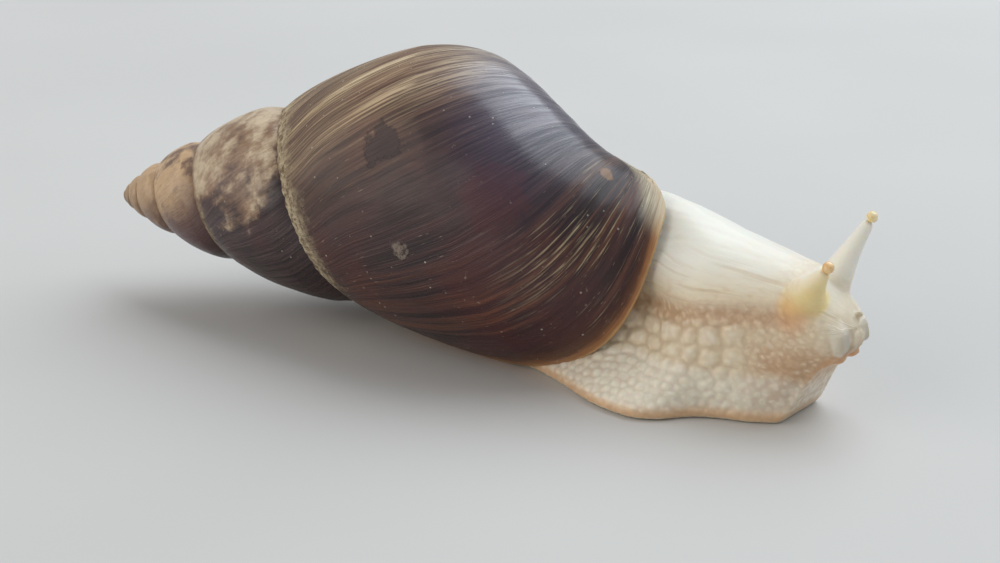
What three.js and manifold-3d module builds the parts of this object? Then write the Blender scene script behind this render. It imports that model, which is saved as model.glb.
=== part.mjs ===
// Giant African land snail, life size, resting on the floor with its body out of its shell.
// Millimetres. +X runs along the shell from its tip towards the head, +Y is the snail's left, +Z is up.
// The origin is on the floor, under the middle of the foot.
import * as THREE from 'three';
import { LoftGeometry } from 'three/addons/geometries/LoftGeometry.js';
import { mergeVertices } from 'three/addons/utils/BufferGeometryUtils.js';
import Module from 'manifold-3d';

const wasm = await Module();
wasm.setup();

// ---------- Driving dimensions ----------
const GAP = 0.3; // between neighbouring pieces

// The shell is one section swept round its axis while it grows by the same ratio every turn.
const SHELL_LENGTH = 119.4; // along the axis, from the tip to the foot of the columella
const WHORLS = 6.6;
const RADIAL_GROWTH = 1.637; // of every radius, each turn
const AXIAL_GROWTH = 2.01; // of every distance from the tip, each turn
const SUTURE = { radius: 22.2, along: 57.0 }; // where the last turn leaves the one before
const BELLY = { radius: 34.7, along: 93.6, share: 0.42 }; // the widest ring of the last turn
const BASE = { radius: 5.9, along: SHELL_LENGTH }; // the front end of the section
const BASE_RETURN = { share: 0.914, power: 3.8, back: 6.5, lean: -39 }; // the section's end curls back
const SHOULDER_POWER = 1.343; // curve of the section from the suture to the belly
const BASE_POWER = 2.717; // curve of the section from the belly to the base
const LIP_ANGLE = 41.7; // of the lip about the axis, from the snail's right side downwards
const LIP_LEAN = [55.9, -161.6, 226.8, -167.1]; // degrees, a cubic along the section
const SHELL_TILT = 6.7; // the tip hangs lower than the lip
const SHELL_TIP = new THREE.Vector3(-81.5, 0, 19.7);
const WALL = 1.3; // thickness of the outer lip
const CALLUS = 0.8; // glaze over the turn before, inside the mouth of the shell
const COLUMELLA = { radius: 4.3, length: 96 }; // measured from the tip, along the axis
const TIP = { radius: 1.5, along: 2 }; // the blunt first turn, as a ball on the axis
const FILL_RADIUS = 2; // where a section closes, inside the columella
const CAVITY_RADIUS = 1.2; // the same for the hollow, so that it cuts through
const BODY_ROOM_RADIUS = 0.3; // the same for the space that the body keeps clear of
const FIRST_TURN = 0.6; // where the spiral starts, on the blunt tip
const FINE_FROM = WHORLS - 3.5; // turns from here on are drawn finely; the ones before it are small
const FINE = { steps: 26, sides: 14 }; // facets in a turn, and along its section
const COARSE = { steps: 14, sides: 6 };
const CAVITY_STEPS = 5; // how far back the mouth of the shell is hollow, in facets of a turn
const TURN_BEFORE = { from: -42, to: -14 }; // the turn that the mouth lies against, in the same facets
const LIP_MARGIN = 0.004; // turns ahead of the lip that the body keeps clear of
const MANTLE_RECESS = 0.012; // turns behind the lip
const MANTLE_DEPTH = 0.5; // turns from the lip, deeper than the hollow

// The body is straight. Its own frame has x along the body, y to its left and z up.
const BODY_PLACE = new THREE.Vector3(40, -12, 0);
const BODY_TURN = -20; // towards the snail's right
const TAIL_END = -92;
const MUZZLE_END = 36.8;
const SIDE_STEPS = 12; // of a body section, each side
const COLLAR_CUT = -12; // neck to trunk
const HEAD_CUT = 21.5; // neck to head
const FOOT_CUT = -14; // front to middle of the foot
const TAIL_CUT = -52; // middle of the foot to tail
const LEAN_HEIGHT = 9; // above which the body has its whole lean
const FRINGE_HEIGHT = 8.5; // top of the foot, where the body above it starts
const EYE_RADIUS = 1.05;

// ---------- Small tools ----------
const radians = THREE.MathUtils.degToRad;
const mix = THREE.MathUtils.lerp;

// A smooth curve through [place, value] pairs, level beyond its ends.
function through(pairs, place) {
  if (place <= pairs[0][0]) return pairs[0][1];
  const last = pairs.length - 1;
  if (place >= pairs[last][0]) return pairs[last][1];
  const i = pairs.findIndex(([x]) => x > place) - 1;
  const slope = (a, b) => (pairs[b][1] - pairs[a][1]) / (pairs[b][0] - pairs[a][0]);
  const startSlope = i === 0 ? slope(0, 1) : slope(i - 1, i + 1);
  const endSlope = i === last - 1 ? slope(last - 1, last) : slope(i, i + 2);
  const width = pairs[i + 1][0] - pairs[i][0];
  const t = (place - pairs[i][0]) / width;
  const rise = pairs[i + 1][1] - pairs[i][1];
  const ease = t * t * (3 - 2 * t);
  const startPull = t * (1 - t) * (1 - t) * width * startSlope;
  const endPull = t * t * (t - 1) * width * endSlope;
  return pairs[i][1] + rise * ease + startPull + endPull;
}

function evenly(from, to, steps) {
  return Array.from({ length: steps + 1 }, (_, i) => mix(from, to, i / steps));
}

function solidFrom(geometry) {
  const bare = new THREE.BufferGeometry();
  bare.setAttribute('position', geometry.attributes.position);
  bare.setIndex(geometry.index);
  const merged = mergeVertices(bare);
  const corners = merged.index.array;
  const kept = [];
  for (let i = 0; i < corners.length; i += 3) {
    const [a, b, c] = corners.slice(i, i + 3);
    if (a !== b && b !== c && c !== a) kept.push(a, b, c);
  }
  const vertProperties = new Float32Array(merged.attributes.position.array);
  const triVerts = new Uint32Array(kept);
  return new wasm.Manifold(new wasm.Mesh({ numProp: 3, vertProperties, triVerts }));
}

// Each end is closed towards the middle of its section.
function loft(sections) {
  const closing = (section) => {
    const middle = new THREE.Vector3();
    section.forEach((point) => middle.addScaledVector(point, 1 / section.length));
    return section.map(() => middle);
  };
  return solidFrom(new LoftGeometry([closing(sections[0]), ...sections, closing(sections.at(-1))]));
}

function join(solids) {
  return solids.reduce((whole, next) => whole.add(next));
}

// The one main body of a cut, without the crumbs that a cut leaves beside it.
function mainBody(solid) {
  const bodies = solid.decompose();
  return bodies.reduce((best, next) => (next.volume() > best.volume() ? next : best));
}

function geometryFrom(solid) {
  const mesh = solid.getMesh();
  const geometry = new THREE.BufferGeometry();
  geometry.setAttribute('position', new THREE.BufferAttribute(mesh.vertProperties, mesh.numProp));
  geometry.setIndex(new THREE.BufferAttribute(mesh.triVerts, 1));
  geometry.computeVertexNormals();
  return geometry;
}

// ---------- Shell ----------
// The shell's own frame: x along the axis from the tip, -y to the snail's right, z up.
const shellFrame = new THREE.Matrix4().makeRotationY(radians(-SHELL_TILT)).setPosition(SHELL_TIP);

// How far a place on the section is into the curl at its front end, from 0 to 1.
function baseCurl(share) {
  const along = (share - BASE_RETURN.share) / (1 - BASE_RETURN.share);
  return Math.max(along, 0) ** BASE_RETURN.power;
}

// One point of the section of the last turn, from the suture (0) to the base (1).
function sectionPoint(share) {
  const onShoulder = share < BELLY.share;
  const start = onShoulder ? 0 : BELLY.share;
  const end = onShoulder ? BELLY.share : 1;
  const sweep = ((share - start) / (end - start)) * (Math.PI / 2);
  const power = 2 / (onShoulder ? SHOULDER_POWER : BASE_POWER);
  const sine = Math.sin(sweep) ** power;
  const cosine = Math.max(Math.cos(sweep), 0) ** power;
  if (onShoulder) {
    return new THREE.Vector2(
      mix(SUTURE.along, BELLY.along, 1 - cosine),
      mix(SUTURE.radius, BELLY.radius, sine),
    );
  }
  return new THREE.Vector2(
    mix(BELLY.along, BASE.along, sine) - BASE_RETURN.back * baseCurl(share),
    mix(BASE.radius, BELLY.radius, cosine),
  );
}

// How far growth runs ahead at a place on the section, in degrees.
function lipLean(share) {
  const lean = LIP_LEAN.reduce((sum, factor, power) => sum + factor * share ** power, 0);
  return lean + BASE_RETURN.lean * baseCurl(share);
}

// The section's outline, grown outwards (or shrunk inwards) by some millimetres.
function grownSection(sideCount, growth) {
  const step = 0.01;
  return evenly(0, 1, sideCount).map((share) => {
    const before = sectionPoint(Math.max(share - step, 0));
    const after = sectionPoint(Math.min(share + step, 1));
    const along = after.sub(before).normalize();
    const point = sectionPoint(share);
    point.x -= along.y * growth;
    point.y += along.x * growth;
    return { share, point };
  });
}

// One stretch of a whorl, filled in to a small radius inside the columella.
function whorlSolid(fromTurn, toTurn, stepCount, { sides, growth, fill }) {
  const outline = grownSection(sides, growth);
  const start = outline[0].point.x;
  const end = outline.at(-1).point.x + growth / 2; // half the growth keeps the closing smooth
  const inner = [
    { share: 0, point: new THREE.Vector2(start, fill) },
    { share: 1, point: new THREE.Vector2(end, fill) },
  ];
  const sections = evenly(fromTurn, toTurn, stepCount).map((turn) => {
    const radial = RADIAL_GROWTH ** (turn - WHORLS);
    const axial = AXIAL_GROWTH ** (turn - WHORLS);
    return [...inner, ...outline.toReversed()].map(({ share, point }) => {
      const angle = radians(LIP_ANGLE + 360 * (turn - WHORLS) + lipLean(share));
      const radius = point.y * radial;
      const place = new THREE.Vector3(
        point.x * axial,
        -radius * Math.cos(angle),
        -radius * Math.sin(angle),
      );
      return place.applyMatrix4(shellFrame);
    });
  });
  return loft(sections);
}

// Consecutive half turns share one step, so that their end faces are buried in each other.
function whorls(fromTurn, toTurn, { growth = 0, fill = FILL_RADIUS, facets = FINE }) {
  const parts = [];
  const { steps, sides } = facets;
  const stepTotal = Math.round((toTurn - fromTurn) * steps);
  const step = (toTurn - fromTurn) / stepTotal;
  const stepsPerPart = steps / 2;
  for (let first = 0; first < stepTotal; first += stepsPerPart) {
    const last = Math.min(first + stepsPerPart + 1, stepTotal);
    const start = fromTurn + first * step;
    const end = fromTurn + last * step;
    parts.push(whorlSolid(start, end, last - first, { sides, growth, fill }));
  }
  return join(parts);
}

// The pillar on the axis stops well short of the lip, as it does in this family.
function columella(growth = 0) {
  const { radius, length } = COLUMELLA;
  const point = 1; // its thin end, near the shell's tip
  const outline = [
    new THREE.Vector2(0, point / 2),
    new THREE.Vector2(0.3 * point + growth, point),
    new THREE.Vector2(radius + growth, length + growth),
    new THREE.Vector2(0, length + radius / 2 + growth),
  ];
  const alongX = new THREE.Matrix4().makeRotationZ(-Math.PI / 2);
  const geometry = new THREE.LatheGeometry(outline, 12).applyMatrix4(alongX);
  return solidFrom(geometry.applyMatrix4(shellFrame));
}

function filledShell({ growth = 0, toTurn = WHORLS, fill = FILL_RADIUS }) {
  const overlap = 0.05;
  const tip = new THREE.SphereGeometry(TIP.radius, 12, 8);
  tip.translate(TIP.along, 0, 0).applyMatrix4(shellFrame);
  const early = whorls(FIRST_TURN, FINE_FROM + overlap, { growth, fill, facets: COARSE });
  const late = whorls(FINE_FROM, toTurn, { growth, fill });
  return join([late, early, columella(growth), solidFrom(tip)]);
}

// The turn that a facet's edge lies on, counted from the lip.
function stepTurn(steps) {
  return WHORLS + steps / FINE.steps;
}

// What fills the mouth of the shell, out to some distance from its walls.
function mouthCore(clearance) {
  const back = clearance > 0 ? 1 : 0; // facets that the clearance takes off its hidden end
  const tube = whorls(stepTurn(back - CAVITY_STEPS), stepTurn(2), {
    growth: -(WALL + clearance),
    fill: CAVITY_RADIUS + clearance,
  });
  const { from, to } = TURN_BEFORE;
  const before = whorls(stepTurn(from - back), stepTurn(to + back), { growth: CALLUS + clearance });
  const inner = join([before, columella(clearance)]);
  return mainBody(tube.subtract(inner));
}

function aboveFloor(solid) {
  const size = 400; // well past the whole snail
  const room = new THREE.BoxGeometry(size, size, size).translate(0, 0, size / 2);
  return solid.intersect(solidFrom(room));
}

const filled = filledShell({});
const hollow = mouthCore(0);
const shell = mainBody(aboveFloor(filled.subtract(hollow)));
const upToLip = whorls(WHORLS - MANTLE_DEPTH, WHORLS - MANTLE_RECESS, { fill: CAVITY_RADIUS });
const mantle = mainBody(mouthCore(GAP).intersect(hollow).intersect(upToLip));

// ---------- Body ----------
const bodyFrame = new THREE.Matrix4().makeRotationZ(radians(BODY_TURN)).setPosition(BODY_PLACE);

// Sizes of a section of the body, by its place along the body.
const topHeight = [[-92, 1.8], [-80, 4], [-66, 6.5], [-56, 11], [-46, 22], [-36, 30], [-22, 33.4],
  [-8, 33.7], [0, 33.1], [8, 31.6], [17, 29.9], [23, 28.8], [27, 28], [30, 25.8], [32.5, 23.6],
  [34.6, 21.6], [36.8, 18.2]];
const underHeight = [[25, 0], [26, 0.6], [28, 4.2], [30, 8.4], [31.5, 10.7], [34, 12.8], [36.8, 15.6]];
const soleHalf = [[-92, 1.2], [-86, 4.5], [-70, 10.5], [-50, 15], [-30, 17.5], [-14, 19], [-6, 21],
  [3, 21.8], [8, 19.5], [12, 14.6], [16, 12], [21, 10], [26, 6.8], [31, 5.4], [34, 4.6], [36.8, 1.6]];
const flankHalf = [[-92, 0.9], [-70, 7.5], [-50, 12], [-25, 12.6], [-9, 12.8], [-2, 11.2], [5, 12.4],
  [11, 12.5], [16, 11.4], [24, 9], [28, 8.2], [32, 7], [34.6, 5.4], [36.8, 2.2]];
const backHalf = [[-92, 0.6], [-70, 4.5], [-50, 8], [-25, 8.6], [-9, 7.4], [-2, 6], [5, 8],
  [11, 8.7], [16, 8.2], [24, 7.4], [28, 6.6], [31, 5.4], [34, 4], [36.8, 1.2]];
const midShift = [[-92, 5], [-60, 5], [-40, 4], [-24, 3.5], [-12, 1], [-4, 0]];
// Where the body leaves the shell it leans to its left, out of the way of the lip.
const leanShift = [[-40, 0], [-22, 2], [-10, 3], [-2, 3], [4, 1.4], [10, 0]];

// Half of one section, from the middle of the sole round to the ridge of the back.
function halfSection(place, growth) {
  const sole = through(soleHalf, place);
  const flank = through(flankHalf, place);
  const back = through(backHalf, place);
  const under = through(underHeight, place);
  const tall = through(topHeight, place) - under;
  const knots = [[0, 0], [0.86 * sole, 0], [sole, 0.04], [0.97 * sole, 0.1], [mix(flank, sole, 0.3), 0.27],
    [flank, 0.5], [0.95 * flank, 0.7], [back, 0.87], [0.55 * back, 0.965], [0, 1]];
  const curve = new THREE.SplineCurve(knots.map(([x, y]) => new THREE.Vector2(x, under + y * tall)));
  return evenly(0, 1, SIDE_STEPS).map((t) => {
    const point = curve.getPoint(t);
    const along = curve.getTangent(t);
    return point.add(new THREE.Vector2(along.y, -along.x).multiplyScalar(growth));
  });
}

function bodySection(place, growth) {
  const half = halfSection(place, growth);
  const lean = through(leanShift, place);
  const middle = (y) => through(midShift, place) + lean * THREE.MathUtils.clamp(y / LEAN_HEIGHT, 0, 1);
  const right = half.map(({ x, y }) => new THREE.Vector3(place, middle(y) - x, y));
  const left = half.slice(1, -1).map(({ x, y }) => new THREE.Vector3(place, middle(y) + x, y));
  return [...right, ...left.reverse()].map((point) => point.applyMatrix4(bodyFrame));
}

function bodySolid(growth = 0) {
  // sections lie closest on the head
  const places = [
    ...evenly(TAIL_END, -50, 8),
    ...evenly(-45, 20, 13),
    ...evenly(22, MUZZLE_END, 10),
  ];
  return loft(places.map((place) => bodySection(place, growth).reverse()));
}

function inBodyFrame(x, y, z) {
  return new THREE.Vector3(x, y, z).applyMatrix4(bodyFrame);
}

// A box in the body's frame, for parting it.
function room(fromX, toX, fromZ, toZ) {
  const width = 200;
  const box = new THREE.BoxGeometry(toX - fromX, width, toZ - fromZ);
  box.translate((fromX + toX) / 2, 0, (fromZ + toZ) / 2);
  return solidFrom(box.applyMatrix4(bodyFrame));
}

const toTurn = WHORLS + LIP_MARGIN;
const shellRoom = filledShell({ growth: GAP, toTurn, fill: BODY_ROOM_RADIUS });
const body = mainBody(aboveFloor(bodySolid()).subtract(shellRoom));
const bodyRoom = bodySolid(GAP);
const far = 150; // well past the body

function bodyPiece(fromX, toX, fromZ, toZ) {
  const cut = GAP / 2;
  return mainBody(body.intersect(room(fromX + cut, toX - cut, fromZ + cut, toZ - cut)));
}

// ---------- Head pieces ----------
// A round limb that tapers along a smooth path of the body's frame.
function limb(path, radii, growth = 0) {
  const steps = 9;
  const sides = 12;
  const curve = new THREE.CatmullRomCurve3(path.map(([x, y, z]) => inBodyFrame(x, y, z)));
  const frames = curve.computeFrenetFrames(steps);
  const sections = evenly(0, 1, steps).map((t, i) => {
    const radius = through(radii, t) + growth;
    const middle = curve.getPointAt(t);
    return evenly(0, 1, sides).slice(1).map((share) => {
      const angle = share * 2 * Math.PI;
      const point = middle.clone();
      point.addScaledVector(frames.normals[i], radius * Math.cos(angle));
      return point.addScaledVector(frames.binormals[i], radius * Math.sin(angle));
    });
  });
  return loft(sections);
}

// An egg-shaped piece: its middle and its three half-widths in the body's frame.
function egg([x, y, z], [halfX, halfY, halfZ], growth = 0) {
  const ball = new THREE.SphereGeometry(1, 14, 10);
  ball.scale(halfX + growth, halfY + growth, halfZ + growth).translate(x, y, z);
  return solidFrom(ball.applyMatrix4(bodyFrame));
}

// The right feeler is half drawn in, as a low cone; the left one is stretched out.
const rightTentacle = {
  path: [[27.6, -4.2, 22.5], [29.4, -5.6, 25.4], [31.4, -6.1, 28.2], [32.9, -6.2, 30.2]],
  radii: [[0, 4.2], [0.35, 3.2], [0.7, 1.7], [1, 1.05]],
  eye: [33.4, -6.2, 31],
};
const leftTentacle = {
  path: [[28.2, 3.4, 23], [30.2, 4.6, 28], [32, 5.9, 32.4], [33.6, 6.8, 35.9]],
  radii: [[0, 4], [0.3, 2.6], [0.6, 1.7], [1, 0.95]],
  eye: [34, 7, 36.8],
};
const FEELER_RADII = [[0, 1.5], [0.5, 1.15], [1, 0.7]];
const LIP_SIZE = [2, 1.7, 1.4];

function tentacle({ path, radii, eye }) {
  const eyeRoom = egg(eye, [EYE_RADIUS, EYE_RADIUS, EYE_RADIUS], GAP);
  return mainBody(limb(path, radii).subtract(bodyRoom).subtract(eyeRoom));
}

function eyeBulb({ eye }) {
  return egg(eye, [EYE_RADIUS, EYE_RADIUS, EYE_RADIUS]);
}

function feelerPath(side) {
  return [[32.8, side * 3, 20.4], [35, side * 3.8, 18.2], [35.8, side * 4, 15.4]];
}

function feeler(side) {
  return mainBody(limb(feelerPath(side), FEELER_RADII).subtract(bodyRoom));
}

function lip(side) {
  const feelerRoom = limb(feelerPath(side), FEELER_RADII, GAP);
  return mainBody(egg([33.7, side * 2.3, 13.7], LIP_SIZE).subtract(bodyRoom).subtract(feelerRoom));
}

// ---------- The snail ----------
const SHELL_FINISH = { color: 0x4a3230, roughness: 0.3 };
const FLESH_FINISH = { color: 0xe6dcbd, roughness: 0.55 };
const SOLE_FINISH = { color: 0xdcc296, roughness: 0.5 };
const FEELER_FINISH = { color: 0xe8c98a, roughness: 0.5 };
const EYE_FINISH = { color: 0xe0a055, roughness: 0.3 };

const snail = new THREE.Group();

function addPiece(name, solid, finish) {
  const mesh = new THREE.Mesh(geometryFrom(solid), new THREE.MeshStandardMaterial(finish));
  mesh.material.metalness = 0;
  mesh.name = name;
  snail.add(mesh);
}

addPiece('shell', shell, SHELL_FINISH);
addPiece('mantle_collar', mantle, FLESH_FINISH);
addPiece('head', bodyPiece(HEAD_CUT, far, FRINGE_HEIGHT, far), FLESH_FINISH);
addPiece('neck', bodyPiece(COLLAR_CUT, HEAD_CUT, FRINGE_HEIGHT, far), FLESH_FINISH);
addPiece('trunk', bodyPiece(TAIL_CUT, COLLAR_CUT, FRINGE_HEIGHT, far), FLESH_FINISH);
addPiece('foot_front', bodyPiece(FOOT_CUT, far, -far, FRINGE_HEIGHT), SOLE_FINISH);
addPiece('foot_middle', bodyPiece(TAIL_CUT, FOOT_CUT, -far, FRINGE_HEIGHT), SOLE_FINISH);
addPiece('tail', bodyPiece(-far, TAIL_CUT, -far, far), SOLE_FINISH);
addPiece('tentacle_right', tentacle(rightTentacle), FEELER_FINISH);
addPiece('tentacle_left', tentacle(leftTentacle), FEELER_FINISH);
addPiece('eye_right', eyeBulb(rightTentacle), EYE_FINISH);
addPiece('eye_left', eyeBulb(leftTentacle), EYE_FINISH);
for (const [name, side] of [['right', -1], ['left', 1]]) {
  addPiece(`feeler_${name}`, feeler(side), FLESH_FINISH);
  addPiece(`lip_${name}`, lip(side), FEELER_FINISH);
}

export default snail;
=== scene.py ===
"""Looks of the giant African land snail: a glossy coiled shell, one moist skin and two eye bulbs."""
import math

import bmesh
import bpy
from mathutils import Matrix, Vector, noise


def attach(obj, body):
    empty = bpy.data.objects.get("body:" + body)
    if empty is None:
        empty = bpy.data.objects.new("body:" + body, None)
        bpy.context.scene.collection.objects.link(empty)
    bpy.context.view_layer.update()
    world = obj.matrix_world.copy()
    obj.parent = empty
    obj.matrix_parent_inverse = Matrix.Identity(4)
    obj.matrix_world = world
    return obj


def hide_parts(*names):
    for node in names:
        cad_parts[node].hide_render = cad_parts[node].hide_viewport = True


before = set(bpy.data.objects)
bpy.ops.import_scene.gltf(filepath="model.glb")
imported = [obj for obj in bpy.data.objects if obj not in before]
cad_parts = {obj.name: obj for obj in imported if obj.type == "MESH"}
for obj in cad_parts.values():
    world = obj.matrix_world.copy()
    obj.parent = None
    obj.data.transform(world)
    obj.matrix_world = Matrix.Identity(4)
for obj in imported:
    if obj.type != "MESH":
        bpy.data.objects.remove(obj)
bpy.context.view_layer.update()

MM = 0.001

# ---------- Sizes, in millimetres, as the solids have them ----------
WHORLS = 6.6
RADIAL_GROWTH = 1.637
AXIAL_GROWTH = 2.01
SUTURE = (57.0, 22.2)
BELLY = (93.6, 34.7)
BASE = (119.4, 5.9)
BELLY_SHARE = 0.42
SHOULDER_POWER = 1.343
BASE_POWER = 2.717
CURL_FROM = 0.914
CURL_POWER = 3.8
CURL_BACK = 6.5
CURL_LEAN = -39.0
LIP_ANGLE = 41.7
LIP_LEAN = (55.9, -161.6, 226.8, -167.1)
SHELL_TILT = 6.7
SHELL_TIP = (-81.5, 0.0, 19.7)
WALL = 1.3
LIP_ROUND = 0.0032  # turns over which the lip rounds off
GIRTH = 218.0  # way round the last turn, at its belly
FIRST_TURN = 0.3

BODY_PLACE = (40.0, -12.0, 0.0)
BODY_TURN = -20.0
TAIL_END = -92.0
MUZZLE_END = 36.8

TOP_HEIGHT = ((-92, 1.8), (-80, 4), (-66, 6.5), (-56, 11), (-46, 22), (-36, 30), (-22, 33.4), (-8, 33.7),
              (0, 33.1), (8, 31.6), (17, 29.9), (23, 28.8), (27, 28), (30, 25.8), (32.5, 23.6),
              (34.6, 21.6), (36.8, 18.2))
UNDER_HEIGHT = ((25, 0), (26, 0.6), (28, 4.2), (30, 8.4), (31.5, 10.7), (34, 12.8), (36.8, 15.6))
SOLE_HALF = ((-92, 1.2), (-86, 4.5), (-70, 10.5), (-50, 15), (-30, 17.5), (-14, 19), (-6, 21), (3, 21.8),
             (8, 19.5), (12, 14.6), (16, 12), (21, 10), (26, 6.8), (31, 5.4), (34, 4.6), (36.8, 1.6))
FLANK_HALF = ((-92, 0.9), (-70, 7.5), (-50, 12), (-25, 12.6), (-9, 12.8), (-2, 11.2), (5, 12.4), (11, 12.5),
              (16, 11.4), (24, 9), (28, 8.2), (32, 7), (34.6, 5.4), (36.8, 2.2))
BACK_HALF = ((-92, 0.6), (-70, 4.5), (-50, 8), (-25, 8.6), (-9, 7.4), (-2, 6), (5, 8), (11, 8.7),
             (16, 8.2), (24, 7.4), (28, 6.6), (31, 5.4), (34, 4), (36.8, 1.2))
MID_SHIFT = ((-92, 5), (-60, 5), (-40, 4), (-24, 3.5), (-12, 1), (-4, 0))
LEAN_SHIFT = ((-40, 0), (-22, 2), (-10, 3), (-2, 3), (4, 1.4), (10, 0))
LEAN_HEIGHT = 9.0
GROOVE = ((-92, 2.5), (-80, 5), (-60, 11), (-40, 16), (0, 17.5), (6, 18.2), (12, 19.4), (18, 20.2),
          (26, 20.4), (30, 19))

RIGHT_TENTACLE = ((27.6, -4.2, 22.5), (29.4, -5.6, 25.4), (31.4, -6.1, 28.2), (32.9, -6.2, 30.2))
RIGHT_RADII = ((0, 4.2), (0.35, 3.2), (0.7, 1.7), (1, 1.05))
RIGHT_EYE = (33.4, -6.2, 31.0)
LEFT_TENTACLE = ((28.2, 3.4, 23), (30.2, 4.6, 28), (32, 5.9, 32.4), (33.6, 6.8, 35.9))
LEFT_RADII = ((0, 4), (0.3, 2.6), (0.6, 1.7), (1, 0.95))
LEFT_EYE = (34.0, 7.0, 36.8)
EYE_RADIUS = 1.05
FEELER_RADII = ((0, 1.5), (0.5, 1.15), (1, 0.7))
LIP_SIZE = (2.0, 1.7, 1.4)
LIP_SHIFT = 2.3  # each lip's distance from the middle of the mouth
MOUTH = (34.2, 0.0, 13.2)
WART = (35.9, 1.4, 20.9)
WART_SIZE = (0.62, 0.62, 0.62)
TENTACLE_FOOT = (27.8, -7.2, 21.6)  # the near side of the right tentacle's root

# ---------- How finely the pieces are made ----------
SHELL_SIDES = 76
# turns where a stretch of rows starts and ends, and its number of rows: closer towards the lip
SHELL_ROWS = (
    (FIRST_TURN, 3.1, 140),
    (3.1, 4.6, 130),
    (4.6, 5.6, 150),
    (5.6, 6.54, 320),
    (6.54, WHORLS - LIP_ROUND, 30),
)
LIP_STEPS = 6
LINE_REACH = 6.0  # millimetres of the section over which the growth lines' lean is evened out
SKIN_CELL = 0.42  # the skin's mesh size before it is thinned
SKIN_KEPT = 0.69  # share of the skin's faces that stay; those that go are behind the head
FAR = 9.0  # a distance that counts as out of reach of a limb

# heights of the rows of knobs below the groove of the flank, and where each row starts
KNOB_ROWS = (2.3, 4.0, 3.5, 2.8, 2.2) + (1.8,) * 12
ROW_TOPS = [sum(KNOB_ROWS[:k]) for k in range(len(KNOB_ROWS) + 1)]

# what the meshes carry for the paint
SHELL_AMOUNTS = ("growth", "share", "edge", "upside", "lines")
SKIN_AMOUNTS = ("knob", "tan", "rim", "smooth", "yellow", "orange", "own", "length", "down", "white", "lay")

# ---------- Marks of wear on the shell, in metres: their middles and how far they reach ----------
SCAR, SCAR_REACH = (-0.0135, -0.0240, 0.0440), 0.0036
BLUSH, BLUSH_REACH = (0.0095, -0.0288, 0.0375), 0.0068
CHIP, CHIP_REACH = (0.0262, -0.0155, 0.0392), 0.0016
CRUST, CRUST_REACH = (-0.0081, -0.0301, 0.0256), 0.002

# ---------- Light and camera ----------
# each light's place and aim in metres, size in metres, power in watts and tint
LIGHTS = (
    ("sky_panel", (0.35, 0.55, 1.0), (0, 0, 0.03), (1.6, 1.3), 15.5, (0.86, 0.93, 1.0)),
    ("side_fill", (-1.0, -0.75, 0.5), (0, 0, 0.02), (1.8, 1.2), 9.5, (1.0, 0.94, 0.86)),
)
ROOM_TINT = (0.86, 0.89, 0.94, 1)
ROOM_LIGHT = 0.4
FLOOR_SIZE = 6.0
CAMERA_TURN = math.radians(18.92)
CAMERA_RISE = math.radians(20)
CAMERA_AIM = (0.182, 1.208, 9.891)
CAMERA_DISTANCE = 0.4
CAMERA_LENS = 73.44
CAMERA_SENSOR = 36


# ---------- Small tools ----------
def mix(a, b, t):
    return a + (b - a) * t


def step(low, high, value):
    """0 below low, 1 above high, smooth between; low may be the greater."""
    t = min(max((value - low) / (high - low), 0.0), 1.0)
    return t * t * (3 - 2 * t)


def through(pairs, place):
    """A smooth curve through (place, value) pairs, level beyond its ends."""
    if place <= pairs[0][0]:
        return pairs[0][1]
    if place >= pairs[-1][0]:
        return pairs[-1][1]
    last = len(pairs) - 1
    i = next(k for k in range(last) if pairs[k + 1][0] > place)

    def slope(a, b):
        return (pairs[b][1] - pairs[a][1]) / (pairs[b][0] - pairs[a][0])

    start = slope(0, 1) if i == 0 else slope(i - 1, i + 1)
    end = slope(last - 1, last) if i == last - 1 else slope(i, i + 2)
    width = pairs[i + 1][0] - pairs[i][0]
    t = (place - pairs[i][0]) / width
    ease = t * t * (3 - 2 * t)
    pull = t * (1 - t) * (1 - t) * width * start + t * t * (t - 1) * width * end
    return pairs[i][1] + (pairs[i + 1][1] - pairs[i][1]) * ease + pull


def colour(code):
    """A hex colour as linear red, green, blue and alpha."""
    parts = [int(code[k:k + 2], 16) / 255 for k in (0, 2, 4)]
    return [p / 12.92 if p <= 0.04045 else ((p + 0.055) / 1.055) ** 2.4 for p in parts] + [1.0]


def sheet(mesh, rows, columns, place, names=()):
    """Adds a grid to a bmesh; place(i, j) gives each vertex's spot and its named amounts."""
    layers = [mesh.verts.layers.float.get(n) or mesh.verts.layers.float.new(n) for n in names]
    made = bmesh.ops.create_grid(mesh, x_segments=rows, y_segments=columns, size=0.5)["verts"]
    for vertex in made:
        i = round((vertex.co.x + 0.5) * rows)
        j = round((vertex.co.y + 0.5) * columns)
        spot, amounts = place(i, j)
        vertex.co = spot
        for layer, amount in zip(layers, amounts):
            vertex[layer] = amount


def piece(name, mesh, material, merge=1e-6):
    """Turns a bmesh into a smooth-shaded piece in the frame."""
    bmesh.ops.remove_doubles(mesh, verts=mesh.verts, dist=merge)
    bmesh.ops.recalc_face_normals(mesh, faces=mesh.faces)
    for face in mesh.faces:
        face.smooth = True
    data = bpy.data.meshes.new(name)
    mesh.to_mesh(data)
    mesh.free()
    made = bpy.data.objects.new(name, data)
    bpy.context.scene.collection.objects.link(made)
    made.data.materials.append(material)
    return made


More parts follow.
